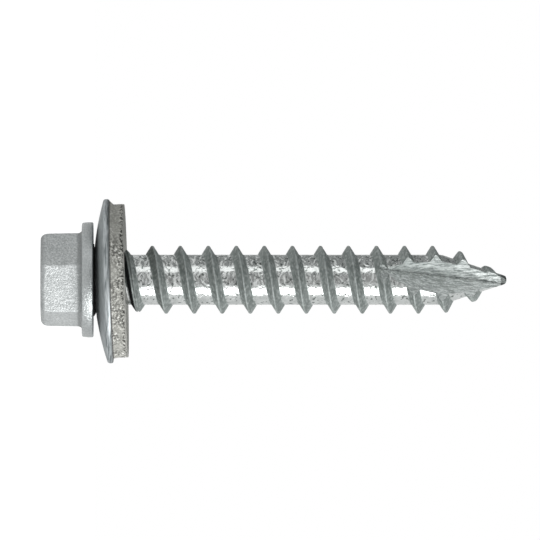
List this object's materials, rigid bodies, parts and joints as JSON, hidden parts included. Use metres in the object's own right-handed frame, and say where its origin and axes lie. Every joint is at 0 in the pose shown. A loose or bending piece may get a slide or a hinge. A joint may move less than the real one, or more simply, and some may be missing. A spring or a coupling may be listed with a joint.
{
  "type": "hex flange head timber screw with sealing washer",
  "caption": "Self-tapping timber screw: hex flange head, domed metal washer with bonded rubber seal, coarse right-hand thread and a notched cutting point.",
  "frame": {"origin": "on the screw's axis, at the end face of the hex head", "axes": "+Z along the axis from the head to the tip; the open side of the notch in the point faces -Y"},
  "size_m": [0.016, 0.016, 0.0452],
  "materials": {
    "screw_steel": "satin grey zinc coat, blasted look on the head, glossy and mottled between the thread ridges",
    "washer_steel": "smooth satin zinc coat",
    "gasket_rubber": "matt, with a rough speckled cut edge"
  },
  "bodies": {
    "screw": {"screw": "screw_steel"},
    "washer": {"metal_washer": "washer_steel", "gasket": "gasket_rubber"}
  },
  "joints": [
    {"name": "washer_spin", "type": "hinge", "parent": "screw", "child": "washer", "pos_m": [0, 0, 0.0062], "axis": [0, 0, 1], "continuous": true}
  ]
}
